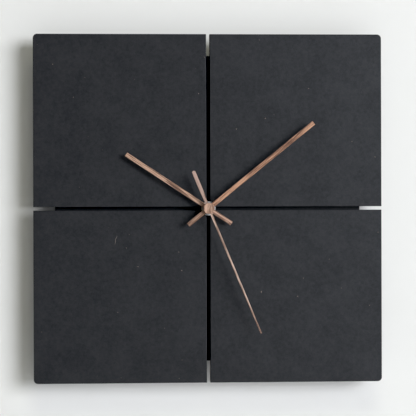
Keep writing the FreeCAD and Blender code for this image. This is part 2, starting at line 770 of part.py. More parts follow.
def build_movement_case():
    case = body_named("MovementCase")
    half, inside = size.case_side / 2, size.case_side / 2 - size.case_wall
    front_wall = size.case_front - size.case_wall
    hollow = front_wall - size.case_back
    divider_low = -size.divider_top - size.divider_thick
    pad(case, size.case_back, size.case_front - size.case_back, rounded(half, size.case_corner))
    pocket(case, size.case_back, hollow, rectangle(-inside, -size.divider_top, inside, inside))
    pocket(case, size.case_back, hollow, rectangle(-inside, -inside, inside, divider_low))
    # slots in the dividing wall, through which the contact strips reach the circuit board
    lap = size.strip_slot_half
    for left, right in ((-inside, 2 * lap - inside), (inside - 2 * lap, inside)):
        slot = rectangle(left, divider_low - lap, right, lap - size.divider_top)
        pocket(case, size.strip_back - lap, size.strip_wide + 2 * lap, slot)
    middle_front = size.middle_back + size.middle_thick
    pillars = [(x, z, size.pillar_radius) for x, z in pillar_places()]
    pad(case, middle_front, front_wall - middle_front, circles=pillars)
    bosses = [(x, z, size.boss_radius) for x, z in (place["minute"], place["knob"])]
    pad(case, size.boss_back, front_wall - size.boss_back, circles=bosses)
    pivots = [(x, z, size.pivot_hole) for x, z in (place["minute"], place["knob"])]
    pocket(case, size.boss_back, front_wall - size.boss_back, circles=pivots)
    hole_through(case, front_wall, size.case_front, [(0, 0, size.bush_radius)])
    node(case, "movement_case")


def build_movement_cover():
    cover = body_named("MovementCover")
    half = size.case_side / 2
    thick = size.case_back - size.cover_back
    bottom = -size.divider_top - size.divider_thick
    x, z = place["knob"]
    pad(cover, size.cover_back, thick, rectangle(-half, bottom, half, half))
    pad(cover, size.case_back, size.knob_cup_deep, circles=[(x, z, size.knob_recess + size.knob_cup)])
    posts = [(x, z, size.pillar_radius) for x, z in pillar_places()]
    pad(cover, size.case_back, size.bridge_back - size.case_back, circles=posts)
    recess_end = size.knob_back + size.knob_thick + size.knob_floor_gap
    recess_start = size.cover_back - size.cut_over
    pocket(cover, recess_start, recess_end - recess_start, circles=[(x, z, size.knob_recess)])
    pocket(cover, size.cover_back, size.middle_back, circles=[(x, z, size.knob_bearing_hole)])
    node(cover, "movement_cover")


def build_plates():
    """The bridge plate holds the wheels' rear pivots, and the centre plate their front ones."""
    half, bottom, top = size.train_half, size.train_bottom, size.train_top
    high, step_x = size.train_high, size.train_step
    step = [(half, bottom), (half, high), (step_x, high), (step_x, top)]
    train = [place["third"], place["fifth"], place["rotor"]]
    pivots = [(x, z, size.pivot_hole) for x, z in train]
    passage = [(*place["knob"], size.knob_passage)]
    pins = [(x, z, size.pillar_pin + size.fit_play) for x, z in pillar_places()]

    middle = body_named("CentrePlate")
    centre_hole = [(0, 0, size.minute_journal + size.running_play)]
    minute_pivot = [(*place["minute"], size.pivot_hole)]
    holes = pivots + passage + centre_hole + minute_pivot
    shape = [(-half, bottom), *step, (-half, top)]
    pad(middle, size.middle_back, size.middle_thick, shape, holes)
    bridge_front = size.bridge_back + size.bridge_thick
    pillars = [(x, z, size.pillar_radius) for x, z in pillar_places()]
    pad(middle, bridge_front, size.middle_back - bridge_front, circles=pillars)
    pin_circles = [(x, z, size.pillar_pin) for x, z in pillar_places()]
    pad(middle, size.bridge_back, size.bridge_thick, circles=pin_circles)
    node(middle, "centre_plate")

    bridge = body_named("BridgePlate")
    wire_hole = [(0, 0, size.wire_radius + size.running_play)]
    notch_x, notch_z = size.crystal_notch_x, size.crystal_notch_z
    shape = [(-half, bottom), *step, (notch_x, top), (notch_x, notch_z), (-half, notch_z)]
    pad(bridge, size.bridge_back, size.bridge_thick, shape, pivots + passage + pins + wire_hole)
    stand = size.circuit_back + size.circuit_thick
    feet_up = size.circuit_bottom + 3
    feet = [(x, feet_up, size.foot_radius) for x in (notch_x + 2, size.train_half - 6)]
    pad(bridge, stand, size.bridge_back - stand, circles=feet)
    node(bridge, "bridge_plate")


def build_circuit():
    board = body_named("CircuitBoard")
    half, back = size.circuit_half, size.circuit_back
    shape = rectangle(-half, size.circuit_bottom, half, size.circuit_top)
    post = (size.pillar_x, size.pillar_high_right, size.pillar_radius + size.post_gap)
    holes = [(*place["knob"], size.knob_opening), post]
    pad(board, back, size.circuit_thick, shape, holes)
    node(board, "circuit_board")

    chip_up = size.circuit_bottom + 6
    chip = drum(size.chip_radius, back - size.chip_thick, back, size.crystal_notch_x / 2, chip_up)
    node(eased(chip, size.chip_ease, at_depth(float(back - size.chip_thick))), "driver_chip")

    can = doc.addObject("Part::Cylinder", "Can")
    bind(can, "Radius", size.crystal_radius)
    bind(can, "Height", size.crystal_long)
    can_depth = back + size.circuit_thick + size.crystal_radius
    for name, value in (("x", size.crystal_x), ("y", -can_depth), ("z", size.circuit_bottom + 1)):
        bind(can, f"Placement.Base.{name}", value)
    rims = eased(can, size.crystal_ease, lambda edge: edge.Curve.TypeId == "Part::GeomCircle")
    node(rims, "quartz_crystal")


def build_motor():
    x, z = place["rotor"]
    half, arm, top = size.stator_half, size.stator_arm, z + size.stator_tall
    shelf = z + size.stator_low
    shape = [
        (x - half, z - size.stator_low),
        (x + half, z - size.stator_low),
        (x + half, top),
        (x + half - arm, top),
        (x + half - arm, shelf),
        (x - half + arm, shelf),
        (x - half + arm, top),
        (x - half, top),
    ]
    stator = body_named("Stator")
    pad(stator, size.stator_back, size.stator_thick, shape, [(x, z, size.stator_hole)])
    node(stator, "stator")

    coil_up = z + size.coil_rise
    core_back = size.stator_back + size.stator_thick
    core_front = core_back + size.core_thick
    low, high = coil_up - size.core_tall / 2, coil_up + size.core_tall / 2
    bar = block(x - half, x + half, core_back, core_front, low, high)
    long_edges = eased(bar, size.core_ease, lambda edge: edge.BoundBox.XLength > size.core_tall)
    node(long_edges, "coil_core")

    depth = core_back + size.core_thick / 2
    end, cheek = size.bobbin_half, size.cheek_thick
    spool = union(
        rod(size.bobbin_tube, x - end, x + end, depth, coil_up),
        rod(size.bobbin_radius, x - end, x - end + cheek, depth, coil_up),
        rod(size.bobbin_radius, x + end - cheek, x + end, depth, coil_up),
    )
    play = size.fit_play
    way = block(x - half, x + half, core_back - play, core_front + play, low - play, high + play)
    node(cut(spool, way), "coil_bobbin")
    outside = rod(size.winding_radius, x - end + cheek, x + end - cheek, depth, coil_up)
    node(cut(outside, rod(size.bobbin_tube, x - end, x + end, depth, coil_up)), "coil_winding")


def build_battery():
    left = -size.cell_long / 2 - size.nub_long / 2
    right = left + size.cell_long
    depth, up = size.cell_depth, -size.cell_drop

    def rim(edge):
        return edge.Curve.TypeId == "Part::GeomCircle" and edge.Curve.Radius > size.nub_radius

    barrel = eased(rod(size.cell_radius, left, right, depth, up), size.cell_ease, rim)
    nub = rod(size.nub_radius, right, right + size.nub_long, depth, up)
    node(union(barrel, nub), "battery")
    touch = {"contact_negative": (-1, -left), "contact_positive": (1, right + size.nub_long)}
    for label, (side, reach) in touch.items():
        wall = size.case_side / 2 - size.case_wall - size.fit_play
        inner = reach + size.fit_play
        bend = (size.strip_bend_low + size.strip_bend_high) / 2
        line = [
            (wall, size.strip_foot),
            (wall, size.strip_bend_low),
            (inner + size.strip_thick, bend),
            (wall, size.strip_bend_high),
            (wall, size.strip_end),
        ]
        back = [(x - size.strip_thick, z) for x, z in reversed(line)]
        strip = body_named(label.title().replace("_", ""))
        shape = [(side * x, z) for x, z in line + back]
        pad(strip, size.strip_back, size.strip_wide, shape)
        node(strip, label)


# Movement: wheels


def train_pivots():
    """The thin rod whose ends run in the bridge plate and the centre plate."""
    short = size.pivot_short
    return drum(size.pivot_radius, size.bridge_back + short, size.middle_back + size.middle_thick - short)


def front_pivot(near):
    """The thin rod from near into a boss on the case's front wall."""
    return drum(size.pivot_radius, near, size.case_front - size.case_wall - size.front_pivot_short)


def build_rotor():
    turn = -turns["rotor"]
    magnet_front = size.magnet_back + size.magnet_thick
    shaft = size.pivot_radius * 2
    magnet = ring(size.magnet_radius, shaft, size.magnet_back, magnet_front)
    node(magnet, "rotor_magnet", place["rotor"], turn)
    pinion = union(
        pinion_teeth(ROTOR, FIFTH_WHEEL, size.rotor_distance, size.second_back),
        drum(shaft, size.magnet_back, size.second_back),
        train_pivots(),
    )
    node(pinion, "rotor_pinion", place["rotor"], turn)


def build_train_wheel(label, where, wheel, pinion, arbor):
    """A wheel and its pinion moulded on one arbor, with a pivot at each end."""
    made = union(wheel, pinion, drum(size.arbor_radius, *arbor), train_pivots())
    node(made, label, place[where], -turns[where])


def build_train():
    build_train_wheel(
        "fifth_wheel",
        "fifth",
        wheel_teeth(FIFTH_WHEEL, ROTOR, size.rotor_distance, size.second_back),
        pinion_teeth(FIFTH_PINION, SECONDS_WHEEL, size.fifth_distance, size.first_back),
        (size.first_back, size.third_back),
    )
    build_train_wheel(
        "third_wheel",
        "third",
        wheel_teeth(THIRD_WHEEL, SECONDS_PINION, size.third_distance, size.second_back),
        pinion_teeth(THIRD_PINION, CENTRE_WHEEL, size.third_distance, size.third_back),
        (size.second_back - size.shoulder, size.third_back + size.wheel_thick),
    )
    teeth = wheel_teeth(CENTRE_WHEEL, THIRD_PINION, size.third_distance, size.third_back)
    front = size.third_back + size.wheel_thick + size.shoulder
    hub = drum(size.minute_journal * 1.5, size.third_back - size.pinion_over, front)
    bore = drum(size.clutch_bore, size.third_back - size.cut_over, size.middle_back)
    node(cut(union(teeth, hub), bore), "centre_wheel", (0, 0), -turns["centre"])


def build_seconds():
    wheel = union(
        wheel_teeth(SECONDS_WHEEL, FIFTH_PINION, size.fifth_distance, size.first_back),
        pinion_teeth(SECONDS_PINION, THIRD_WHEEL, size.third_distance, size.second_back),
        drum(size.arbor_radius, size.first_back - size.shoulder, size.second_back),
    )
    bore = drum(size.wire_radius, size.bridge_back, size.third_back)
    node(cut(wheel, bore), "seconds_wheel", (0, 0), -turns["seconds"])
    wire = drum(size.wire_radius, size.bridge_back + size.pivot_short, size.wire_front)
    rims = eased(wire, size.wire_ease, lambda edge: edge.BoundBox.YLength < TOUCHING)
    node(rims, "seconds_arbor", (0, 0), size.second_turn)


def build_minutes():
    fourth_front = size.fourth_back + size.wheel_thick
    arbor = union(
        pinion_teeth(CANNON, MINUTE_WHEEL, size.minute_distance, size.fourth_back),
        drum(size.minute_tube, size.minute_back, size.minute_front),
        drum(size.minute_journal, size.middle_back - size.pinion_over, fourth_front + size.pinion_over),
    )
    bore = bored(size.minute_bore, size.minute_back, size.minute_front)
    node(cut(arbor, bore), "minute_arbor", (0, 0), -turns["cannon"])

    wheel = union(
        wheel_teeth(MINUTE_WHEEL, CANNON, size.minute_distance, size.fourth_back),
        pinion_teeth(MINUTE_PINION, HOUR_WHEEL, size.minute_distance, size.fifth_back),
        drum(size.arbor_radius, fourth_front, size.fifth_back),
        front_pivot(size.middle_back + size.pivot_short),
    )
    node(wheel, "minute_wheel", place["minute"], -turns["minute"])


def build_hours():
    front = size.fifth_back + size.wheel_thick
    wheel = union(
        wheel_teeth(HOUR_WHEEL, MINUTE_PINION, size.minute_distance, size.fifth_back),
        drum(size.bush_radius, front, front + size.wheel_thick),
        drum(size.hour_tube, size.fifth_back, size.hour_front),
    )
    bore = bored(size.hour_bore, size.fifth_back, size.hour_front)
    node(cut(wheel, bore), "hour_wheel", (0, 0), -turns["hour"])


def build_setting_knob():
    knob = body_named("Knob")
    pad(knob, size.knob_back, size.knob_thick, circles=[(0, 0, size.knob_radius)])
    bite = [(size.knob_radius, 0, size.knob_notch)]
    front = size.knob_back + size.knob_thick
    notch = hole_through(knob, size.knob_back, front, bite)
    pattern = knob.newObject("PartDesign::PolarPattern", "GripNotches")
    pattern.Originals = [notch]
    pattern.Axis = (notch.Profile[0], ["N_Axis"])
    pattern.Angle = 360
    pattern.Occurrences = GRIP_NOTCHES
    knob.Tip = pattern
    shaft = union(
        knob,
        drum(size.knob_stem, front, size.fourth_back),
        pinion_teeth(KNOB_PINION, MINUTE_WHEEL, size.minute_distance, size.fourth_back),
        front_pivot(size.fourth_back),
    )
    node(shaft, "setting_knob", place["knob"], -turns["knob"])


# Bush, hands and their hubs


def build_bush_and_nut():
    bush = union(
        drum(size.bush_radius, size.bush_back, size.bush_front),
        drum(size.bush_flange, size.bush_back, size.case_front - size.case_wall),
    )
    node(cut(bush, bored(size.bush_bore, size.bush_back, size.bush_front)), "threaded_bush")
    web_back = size.board_thick - size.web_thick
    node(ring(size.gasket_radius, size.washer_bore, size.case_front, web_back), "rubber_gasket")
    face = size.board_thick + size.tile_thick
    washer_front = face + size.washer_thick
    node(ring(size.washer_radius, size.washer_bore, face, washer_front), "washer")
    prism = doc.addObject("Part::Prism", "Hexagon")
    prism.Polygon = 6
    prism.Placement = Placement(Vector(0, 0, 0), TO_READER)
    bind(prism, "Circumradius", size.nut_flats / math.sqrt(3))
    bind(prism, "Height", size.nut_thick)
    bind(prism, "Placement.Base.y", -washer_front)
    node(cut(prism, drum(size.bush_radius, face, size.bush_front)), "hex_nut")


def build_hub(label, plate, plate_thick, collar, bore, depth, thick, turn):
    """A plate behind a hand, and a collar that goes through the hand's eye."""
    metal = union(drum(plate, depth - plate_thick, depth), drum(collar, depth - plate_thick, depth + thick))
    node(cut(metal, bored(bore, depth - plate_thick, depth + thick)), label, (0, 0), turn)


def build_bar_hand(label, reach, tail, wide, eye, hole, depth, turn):
    """A straight bar with a round eye about the axis, drawn pointing up."""
    hand = body_named(label.title().replace("_", ""))
    half = wide / 2
    pad(hand, depth, size.hand_thick, rectangle(-half, -tail, half, reach))
    pad(hand, depth, size.hand_thick, circles=[(0, 0, eye)])
    hole_through(hand, depth, depth + size.hand_thick, [(0, 0, hole)])
    node(hand, label, (0, 0), turn)


def build_second_hand():
    """A tapering pointer with a paddle tail."""
    hand = body_named("SecondHand")
    depth, thick = size.second_depth, size.second_thick
    root, tip, tail_root, wide = (
        w / 2 for w in (size.second_root, size.second_tip, size.tail_root, size.tail_wide)
    )
    end = size.second_tail - wide
    shape = [
        (root, 0),
        (tip, size.second_reach),
        (-tip, size.second_reach),
        (-root, 0),
        (-tail_root, -size.second_eye),
        (-wide, -size.tail_widest),
        (-wide, -end),
        (wide, -end),
        (wide, -size.tail_widest),
        (tail_root, -size.second_eye),
    ]
    pad(hand, depth, thick, shape)
    pad(hand, depth, thick, circles=[(0, -end, wide)])
    pad(hand, depth, thick, circles=[(0, 0, size.second_eye)])
    hole = size.second_collar + size.collar_play
    hole_through(hand, depth, depth + thick, [(0, 0, hole)])
    node(hand, "second_hand", (0, 0), size.second_turn)


def build_hands():
    play = size.collar_play
    build_bar_hand(
        "hour_hand",
        size.hour_reach,
        size.hour_tail,
        size.hour_wide,
        size.hour_eye,
        size.hour_collar + play,
        size.hour_depth,
        size.hour_turn,
    )
    build_bar_hand(
        "minute_hand",
        size.minute_reach,
        size.minute_tail,
        size.minute_wide,
        size.minute_eye,
        size.minute_collar + play,
        size.minute_depth,
        size.minute_turn,
    )
    build_second_hand()
    thin = size.small_plate_thick
    for label, plate, plate_thick, collar, bore, depth, thick, turn in (
        (
            "hour_hub",
            size.hour_plate,
            size.hour_plate_thick,
            size.hour_collar,
            size.hour_tube,
            size.hour_depth,
            size.hand_thick,
            size.hour_turn,
        ),
        (
            "minute_hub",
            size.minute_plate,
            thin,
            size.minute_collar,
            size.minute_tube,
            size.minute_depth,
            size.hand_thick,
            size.minute_turn,
        ),
        (
            "second_hub",
            size.second_plate,
            thin,
            size.second_collar,
            size.wire_radius,
            size.second_depth,
            size.second_thick,
            size.second_turn,
        ),
    ):
        build_hub(label, plate, plate_thick, collar, bore, depth, thick, turn)
    cap_back = size.second_depth + size.second_thick
    cap_front = cap_back + size.cap_thick
    cap = eased(drum(size.cap_radius, cap_back, cap_front), size.cap_ease, at_depth(float(cap_front)))
    node(cap, "centre_cap", (0, 0), size.second_turn)


# Places of the arbors, and how far each gear is turned so that every pair is in mesh at rest


def find_places():
    third = polar(size.third_distance, size.third_bearing)
    fifth = polar(size.fifth_distance, size.fifth_bearing)
    rotor = polar(size.rotor_distance, size.rotor_bearing)
    minute = polar(size.minute_distance, size.minute_bearing)
    knob = polar(size.minute_distance, size.knob_bearing)
    return {
        "third": third,
        "fifth": fifth,
        "rotor": (fifth[0] + rotor[0], fifth[1] + rotor[1]),
        "minute": minute,
        "knob": (minute[0] + knob[0], minute[1] + knob[1]),
    }


def find_turns():
    """How far each gear is turned at rest, in degrees anticlockwise. The seconds wheel and the cannon
    pinion are turned as their hands are, and every other gear follows from the one it meshes with."""
    seconds = -float(size.second_turn)
    cannon = -float(size.minute_turn)
    fifth = meshed(seconds, SECONDS_WHEEL, FIFTH_PINION, size.fifth_bearing)
    third = meshed(seconds, SECONDS_PINION, THIRD_WHEEL, size.third_bearing)
    minute = meshed(cannon, CANNON, MINUTE_WHEEL, size.minute_bearing)
    return {
        "seconds": seconds,
        "fifth": fifth,
        "rotor": meshed(fifth, FIFTH_WHEEL, ROTOR, size.rotor_bearing),
        "third": third,
        "centre": meshed(third, THIRD_PINION, CENTRE_WHEEL, size.third_bearing + 180),
        "cannon": cannon,
        "minute": minute,
        "hour": meshed(minute, MINUTE_PINION, HOUR_WHEEL, size.minute_bearing + 180),
        "knob": meshed(minute, MINUTE_WHEEL, KNOB_PINION, size.knob_bearing),
    }


def check():
    """Stops at the first object that failed, cut nothing or isn't a valid shape."""
    for made in doc.Objects:
        if "Invalid" in made.State or "Error" in made.State:
            raise RuntimeError(f"{made.Name} ({made.Label}) failed: {made.State}")
        if made.TypeId == "PartDesign::Pocket" and made.Shape.Volume >= made.BaseFeature.Shape.Volume:
            raise RuntimeError(f"{made.Name} of {made.getParentGeoFeatureGroup().Label} cuts nothing")
    for made in nodes:
        if made.Shape.isNull() or not made.Shape.isValid() or not made.Shape.Solids:
            raise RuntimeError(f"{made.Label} has no valid solid")


fill_sheet()
size = Cells()
place = find_places()
turns = find_turns()

build_backing_board()
for tile, (sx, sz) in {
    "tile_top_left": (-1, 1),
    "tile_top_right": (1, 1),
    "tile_bottom_left": (-1, -1),
    "tile_bottom_right": (1, -1),
}.items():
    build_tile(tile, sx, sz)
build_screws()
build_hanger_plate()
build_movement_case()
build_movement_cover()
build_plates()
build_circuit()
build_motor()
build_battery()
build_rotor()
build_train()
build_seconds()
build_minutes()
build_hours()
build_setting_knob()
build_bush_and_nut()
build_hands()
doc.recompute()
check()

os.makedirs("parts", exist_ok=True)
for made in nodes:
    made.Shape.exportStep(f"parts/{made.Label}.step")
    print(f"{made.Label}: {len(made.Shape.Solids)} solid(s), {made.Shape.Volume:.1f} mm3")
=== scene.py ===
"""A wall clock of four charcoal tiles with walnut hands, hanging on a pale wall."""

import json
import math

import bpy
from mathutils import Matrix, Vector


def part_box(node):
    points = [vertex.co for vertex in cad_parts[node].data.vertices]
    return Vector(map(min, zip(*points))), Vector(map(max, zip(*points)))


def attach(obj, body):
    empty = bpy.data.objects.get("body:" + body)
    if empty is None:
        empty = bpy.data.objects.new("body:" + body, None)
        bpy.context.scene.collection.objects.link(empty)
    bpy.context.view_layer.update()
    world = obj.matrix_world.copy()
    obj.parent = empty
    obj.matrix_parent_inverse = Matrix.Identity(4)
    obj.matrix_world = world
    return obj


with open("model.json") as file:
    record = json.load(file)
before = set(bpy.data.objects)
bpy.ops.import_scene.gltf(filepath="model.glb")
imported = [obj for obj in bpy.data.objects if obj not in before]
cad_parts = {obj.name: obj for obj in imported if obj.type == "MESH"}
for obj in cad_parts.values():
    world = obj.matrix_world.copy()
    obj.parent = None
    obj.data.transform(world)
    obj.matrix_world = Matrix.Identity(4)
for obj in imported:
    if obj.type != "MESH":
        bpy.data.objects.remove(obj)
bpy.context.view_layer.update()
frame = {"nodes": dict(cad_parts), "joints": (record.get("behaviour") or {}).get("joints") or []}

joints = {joint["name"]: Vector(joint["pos_m"]) for joint in frame["joints"]}
hands_axis = joints["hour_hand_turn"]
WALL_WAY = Vector((0, 1, 0))
TILES = "tile_top_left", "tile_top_right", "tile_bottom_left", "tile_bottom_right"


# Materials


class Graph:
    """A material's node tree, whose textures follow the object's own coordinates in metres."""

    def __init__(self, name):
        self.material = bpy.data.materials.new(name)
        self.material.use_nodes = True
        self.tree = self.material.node_tree
        self.shader = next(n for n in self.tree.nodes if n.type == "BSDF_PRINCIPLED")
        self.place = self.node("ShaderNodeTexCoord").outputs["Object"]

    def node(self, kind, **settings):
        made = self.tree.nodes.new(kind)
        for name, value in settings.items():
            setattr(made, name, value)
        return made

    def feed(self, socket, source):
        if isinstance(source, bpy.types.NodeSocket):
            self.tree.links.new(source, socket)
        else:
            socket.default_value = source

    def stretched(self, scale, place=None):
        made = self.node("ShaderNodeVectorMath", operation="MULTIPLY")
        self.feed(made.inputs[0], place or self.place)
        made.inputs[1].default_value = scale
        return made.outputs[0]

    def turned(self, angle, centre):
        """The place turned about the line through the centre that runs straight into the wall."""
        made = self.node("ShaderNodeVectorRotate", rotation_type="AXIS_ANGLE")
        self.feed(made.inputs["Vector"], self.place)
        made.inputs["Center"].default_value = centre
        made.inputs["Axis"].default_value = WALL_WAY
        made.inputs["Angle"].default_value = angle
        return made.outputs[0]

    def shifted(self, shift, place=None):
        made = self.node("ShaderNodeVectorMath", operation="ADD")
        self.feed(made.inputs[0], place or self.place)
        made.inputs[1].default_value = shift
        return made.outputs[0]

    def noise(self, scale, detail=2.0, rough=0.5, bend=0.0, place=None):
        made = self.node("ShaderNodeTexNoise")
        self.feed(made.inputs["Vector"], place or self.place)
        settings = {"Scale": scale, "Detail": detail, "Roughness": rough, "Distortion": bend}
        for name, value in settings.items():
            made.inputs[name].default_value = value
        return made.outputs["Fac"]

    def cells(self, scale, spread=1.0, place=None, feature="F1"):
        """Cells, each with a distance from its middle or edge and a colour of its own."""
        made = self.node("ShaderNodeTexVoronoi", feature=feature)
        self.feed(made.inputs["Vector"], place or self.place)
        made.inputs["Scale"].default_value = scale
        made.inputs["Randomness"].default_value = spread
        return made.outputs

    def maths(self, operation, a, b=0.0):
        made = self.node("ShaderNodeMath", operation=operation)
        for socket, source in zip(made.inputs, (a, b)):
            self.feed(socket, source)
        return made.outputs[0]

    def span(self, value, low, high, to_low=0.0, to_high=1.0):
        """The value's range from low to high, taken to a new range and held there."""
        made = self.node("ShaderNodeMapRange")
        for socket, source in zip(made.inputs, (value, low, high, to_low, to_high)):
            self.feed(socket, source)
        return made.outputs[0]

    def colours(self, value, *stops):
        made = self.node("ShaderNodeValToRGB")
        ramp = made.color_ramp
        while len(ramp.elements) < len(stops):
            ramp.elements.new(0.5)
        for element, (position, colour) in zip(ramp.elements, stops):
            element.position = position
            element.color = (*colour, 1.0)
        self.feed(made.inputs[0], value)
        return made.outputs[0]

    def over(self, share, below, above):
        """One colour over another by a share."""
        made = self.node("ShaderNodeMix", data_type="RGBA")
        self.feed(made.inputs["Factor"], share)
        sockets = [s for s in made.inputs if s.type == "RGBA"]
        for socket, source in zip(sockets, (below, above)):
            self.feed(socket, source if isinstance(source, bpy.types.NodeSocket) else (*source, 1.0))
        return next(s for s in made.outputs if s.type == "RGBA")

    def axis_part(self, name, place=None):
        made = self.node("ShaderNodeSeparateXYZ")
        self.feed(made.inputs[0], place or self.place)
        return made.outputs[name]

    def radius(self, centre):
        """Distance from the line through the centre that runs straight into the wall."""
        flat = self.stretched((1, 0, 1), self.shifted(tuple(-c for c in centre)))
        made = self.node("ShaderNodeVectorMath", operation="LENGTH")
        self.feed(made.inputs[0], flat)
        return made.outputs["Value"]

    def ringed(self, centre):
        """That distance as a place, for marks that run round the line."""
        made = self.node("ShaderNodeCombineXYZ")
        self.feed(made.inputs[0], self.radius(centre))
        return made.outputs[0]

    def relief(self, *layers):
        """Bumps of (height, depth in metres), one on another."""
        normal = None
        for height, depth in layers:
            made = self.node("ShaderNodeBump")
            self.feed(made.inputs["Height"], height)
            made.inputs["Distance"].default_value = depth
            if normal:
                self.feed(made.inputs["Normal"], normal)
            normal = made.outputs[0]
        self.feed(self.shader.inputs["Normal"], normal)

    def finish(self, colour, rough, **constants):
        self.feed(self.shader.inputs["Base Color"], colour)
        self.feed(self.shader.inputs["Roughness"], rough)
        for name, value in constants.items():
            self.shader.inputs[name.replace("_", " ")].default_value = value
        return self.material


def fibreboard(name, dark, light, fleck):
    """Through-dyed fibreboard: pressed fine fibres, cloudy dye and a few undyed flecks."""
    g = Graph(name)
    clouds = g.noise(38, detail=5, rough=0.62)
    mottle = g.noise(330, detail=4, rough=0.65)
    upright = g.stretched((2600, 2600, 700))
    lying = g.stretched((700, 2400, 2700), g.shifted((0.4, 0.2, 0.1)))
    fibres = g.noise(1, detail=3, rough=0.6, bend=0.6, place=upright)
    crossed = g.noise(1, detail=3, rough=0.6, bend=0.6, place=lying)
    fine = g.maths("MULTIPLY", g.maths("MAXIMUM", fibres, crossed), 0.35)
    tone = g.maths("ADD", g.maths("MULTIPLY", clouds, 0.32), g.maths("MULTIPLY", mottle, 0.33))
    tone = g.maths("ADD", tone, fine)
    board = g.colours(tone, (0.42, dark), (0.63, light))

    def flecks(place, share, smallest, spread):
        """Spots in a share of the cells, of sizes from smallest to smallest + spread of a cell."""
        spots = g.cells(400, place=place)
        chosen = g.maths("GREATER_THAN", g.axis_part("X", spots["Color"]), 1 - share)
        reach = g.maths("ADD", g.maths("MULTIPLY", g.axis_part("Y", spots["Color"]), spread), smallest)
        return g.maths("MULTIPLY", chosen, g.maths("LESS_THAN", spots["Distance"], reach))

    here = g.shifted((0.013, 0.02, 0.007))
    round_ones = flecks(here, share=0.013, smallest=0.05, spread=0.11)
    drawn_out = g.stretched((0.9, 1, 0.22), g.shifted((0.31, 0.2, 0.17)))
    long_ones = flecks(drawn_out, share=0.012, smallest=0.03, spread=0.06)
    paleness = g.span(g.noise(150, detail=1), 0.35, 0.65, to_low=0.2, to_high=1.0)
    undyed = g.maths("MULTIPLY", g.maths("MAXIMUM", round_ones, long_ones), paleness)
    colour = g.over(undyed, board, fleck)
    g.relief((mottle, 0.00006), (g.maths("ADD", fibres, crossed), 0.00004))
    # the sawn edges are duller than the sanded faces
    facing = g.maths("ABSOLUTE", g.axis_part("Y", g.node("ShaderNodeTexCoord").outputs["Normal"]))
    sanded = g.span(tone, 0.40, 0.66, to_low=0.52, to_high=0.40)
    rough = g.span(facing, 0.3, 0.7, to_low=1.0, to_high=sanded)
    # the gloss is tinted blue: painted colour of the daylight it reflects
    return g.finish(colour, rough, Specular_IOR_Level=0.27, Specular_Tint=(0.88, 0.93, 1.0, 1.0))


def walnut(name, turn, seed, point, tail, fine=1.0):
    """Oiled walnut with its grain along the piece, as turned clockwise from upright. point and tail tint
    the wood beyond the hands' axis and behind it, and fine draws the grain closer."""
    blend = 0.006  # half the length over which one tint passes into the other
    browns = (0.41, (0.100, 0.044, 0.026)), (0.48, (0.250, 0.140, 0.090)), (0.56, (0.540, 0.345, 0.250))
    pore_brown = (0.085, 0.040, 0.024)
    g = Graph(name)
    upright = g.turned(-turn, hands_axis)
    along = g.shifted((seed, seed * 0.7, seed * 1.3), upright)
    streaks = g.noise(fine, detail=4, rough=0.6, bend=0.5, place=g.stretched((1250, 1250, 60), along))
    broad = g.noise(fine, detail=2, bend=1.0, place=g.stretched((280, 280, 24), along))
    pores = g.cells(1, place=g.stretched((3400, 3400, 210), along))["Distance"]
    open_pores = g.span(pores, 0.05, 0.26, to_low=1.0, to_high=0.0)
    tone = g.maths("ADD", g.maths("MULTIPLY", streaks, 0.6), g.maths("MULTIPLY", broad, 0.4))

    def tinted(tint):
        return g.colours(tone, *((at, [t * part for t, part in zip(tint, brown)]) for at, brown in browns))

    beyond = g.span(g.axis_part("Z", upright), hands_axis.z - blend, hands_axis.z + blend)
    wood = g.over(beyond, tinted(tail), tinted(point))
    colour = g.over(g.maths("MULTIPLY", open_pores, 0.6), wood, pore_brown)
    g.relief((g.maths("SUBTRACT", streaks, open_pores), 0.00004))
    rough = g.span(tone, 0.3, 0.7, to_low=0.56, to_high=0.42)
    return g.finish(colour, rough, Specular_IOR_Level=0.5)


def turned_metal(name, colour, worn, rough=0.28):
    """Metal faced on a lathe: fine rings about the hands' axis."""
    g = Graph(name)
    rings = g.noise(1, detail=3, rough=0.7, place=g.stretched((9000, 0, 0), g.ringed(hands_axis)))
    haze = g.noise(420, detail=3, rough=0.6)
    tint = g.colours(haze, (0.35, colour), (0.75, worn))
    g.relief((rings, 0.000006))
    return g.finish(tint, g.span(haze, 0.3, 0.7, rough, rough + 0.14), Metallic=1.0)


def brushed_metal(name, colour, worn, grain, rough=0.3):
    """Rolled or plated metal with fine lines along one way, and a cloudy finish."""
    g = Graph(name)
    lines = g.noise(1, detail=3, rough=0.65, place=g.stretched(grain))
    haze = g.noise(160, detail=4, rough=0.6)
    spots = g.cells(900)["Distance"]
    cloud = g.maths("ADD", g.maths("MULTIPLY", haze, 0.7), g.maths("MULTIPLY", spots, 0.3))
    tint = g.colours(cloud, (0.25, colour), (0.7, worn))
    g.relief((lines, 0.000012), (haze, 0.00002))
    return g.finish(tint, g.span(haze, 0.3, 0.7, rough, rough + 0.18), Metallic=1.0)


def moulded(name, dark, light, rough, texture=0.00002, **constants):
    """Moulded plastic: spark-eroded texture, faint flow marks and handling shine."""
    g = Graph(name)
    flow = g.noise(55, detail=3, rough=0.55, bend=1.2)
    pits = g.noise(5200, rough=0.6)
    rub = g.noise(130, detail=4, rough=0.7)
    colour = g.colours(flow, (0.3, dark), (0.75, light))
    g.relief((pits, texture), (flow, texture * 2))
    rubbed = max(0.05, rough - 0.16)
    return g.finish(colour, g.span(rub, 0.3, 0.75, rough, rubbed), **constants)


def copper_winding(name, low, high):
    """Turns of enamelled wire, side by side along X."""
    wire = 0.00009
    g = Graph(name)
    turns = g.maths("SINE", g.maths("MULTIPLY", g.axis_part("X"), 2 * math.pi / wire))
    shade = g.noise(700)
    colour = g.colours(shade, (0.3, low), (0.7, high))
    g.relief((turns, 0.000015))
    return g.finish(colour, 0.24, Metallic=1.0, Coat_Weight=0.5)


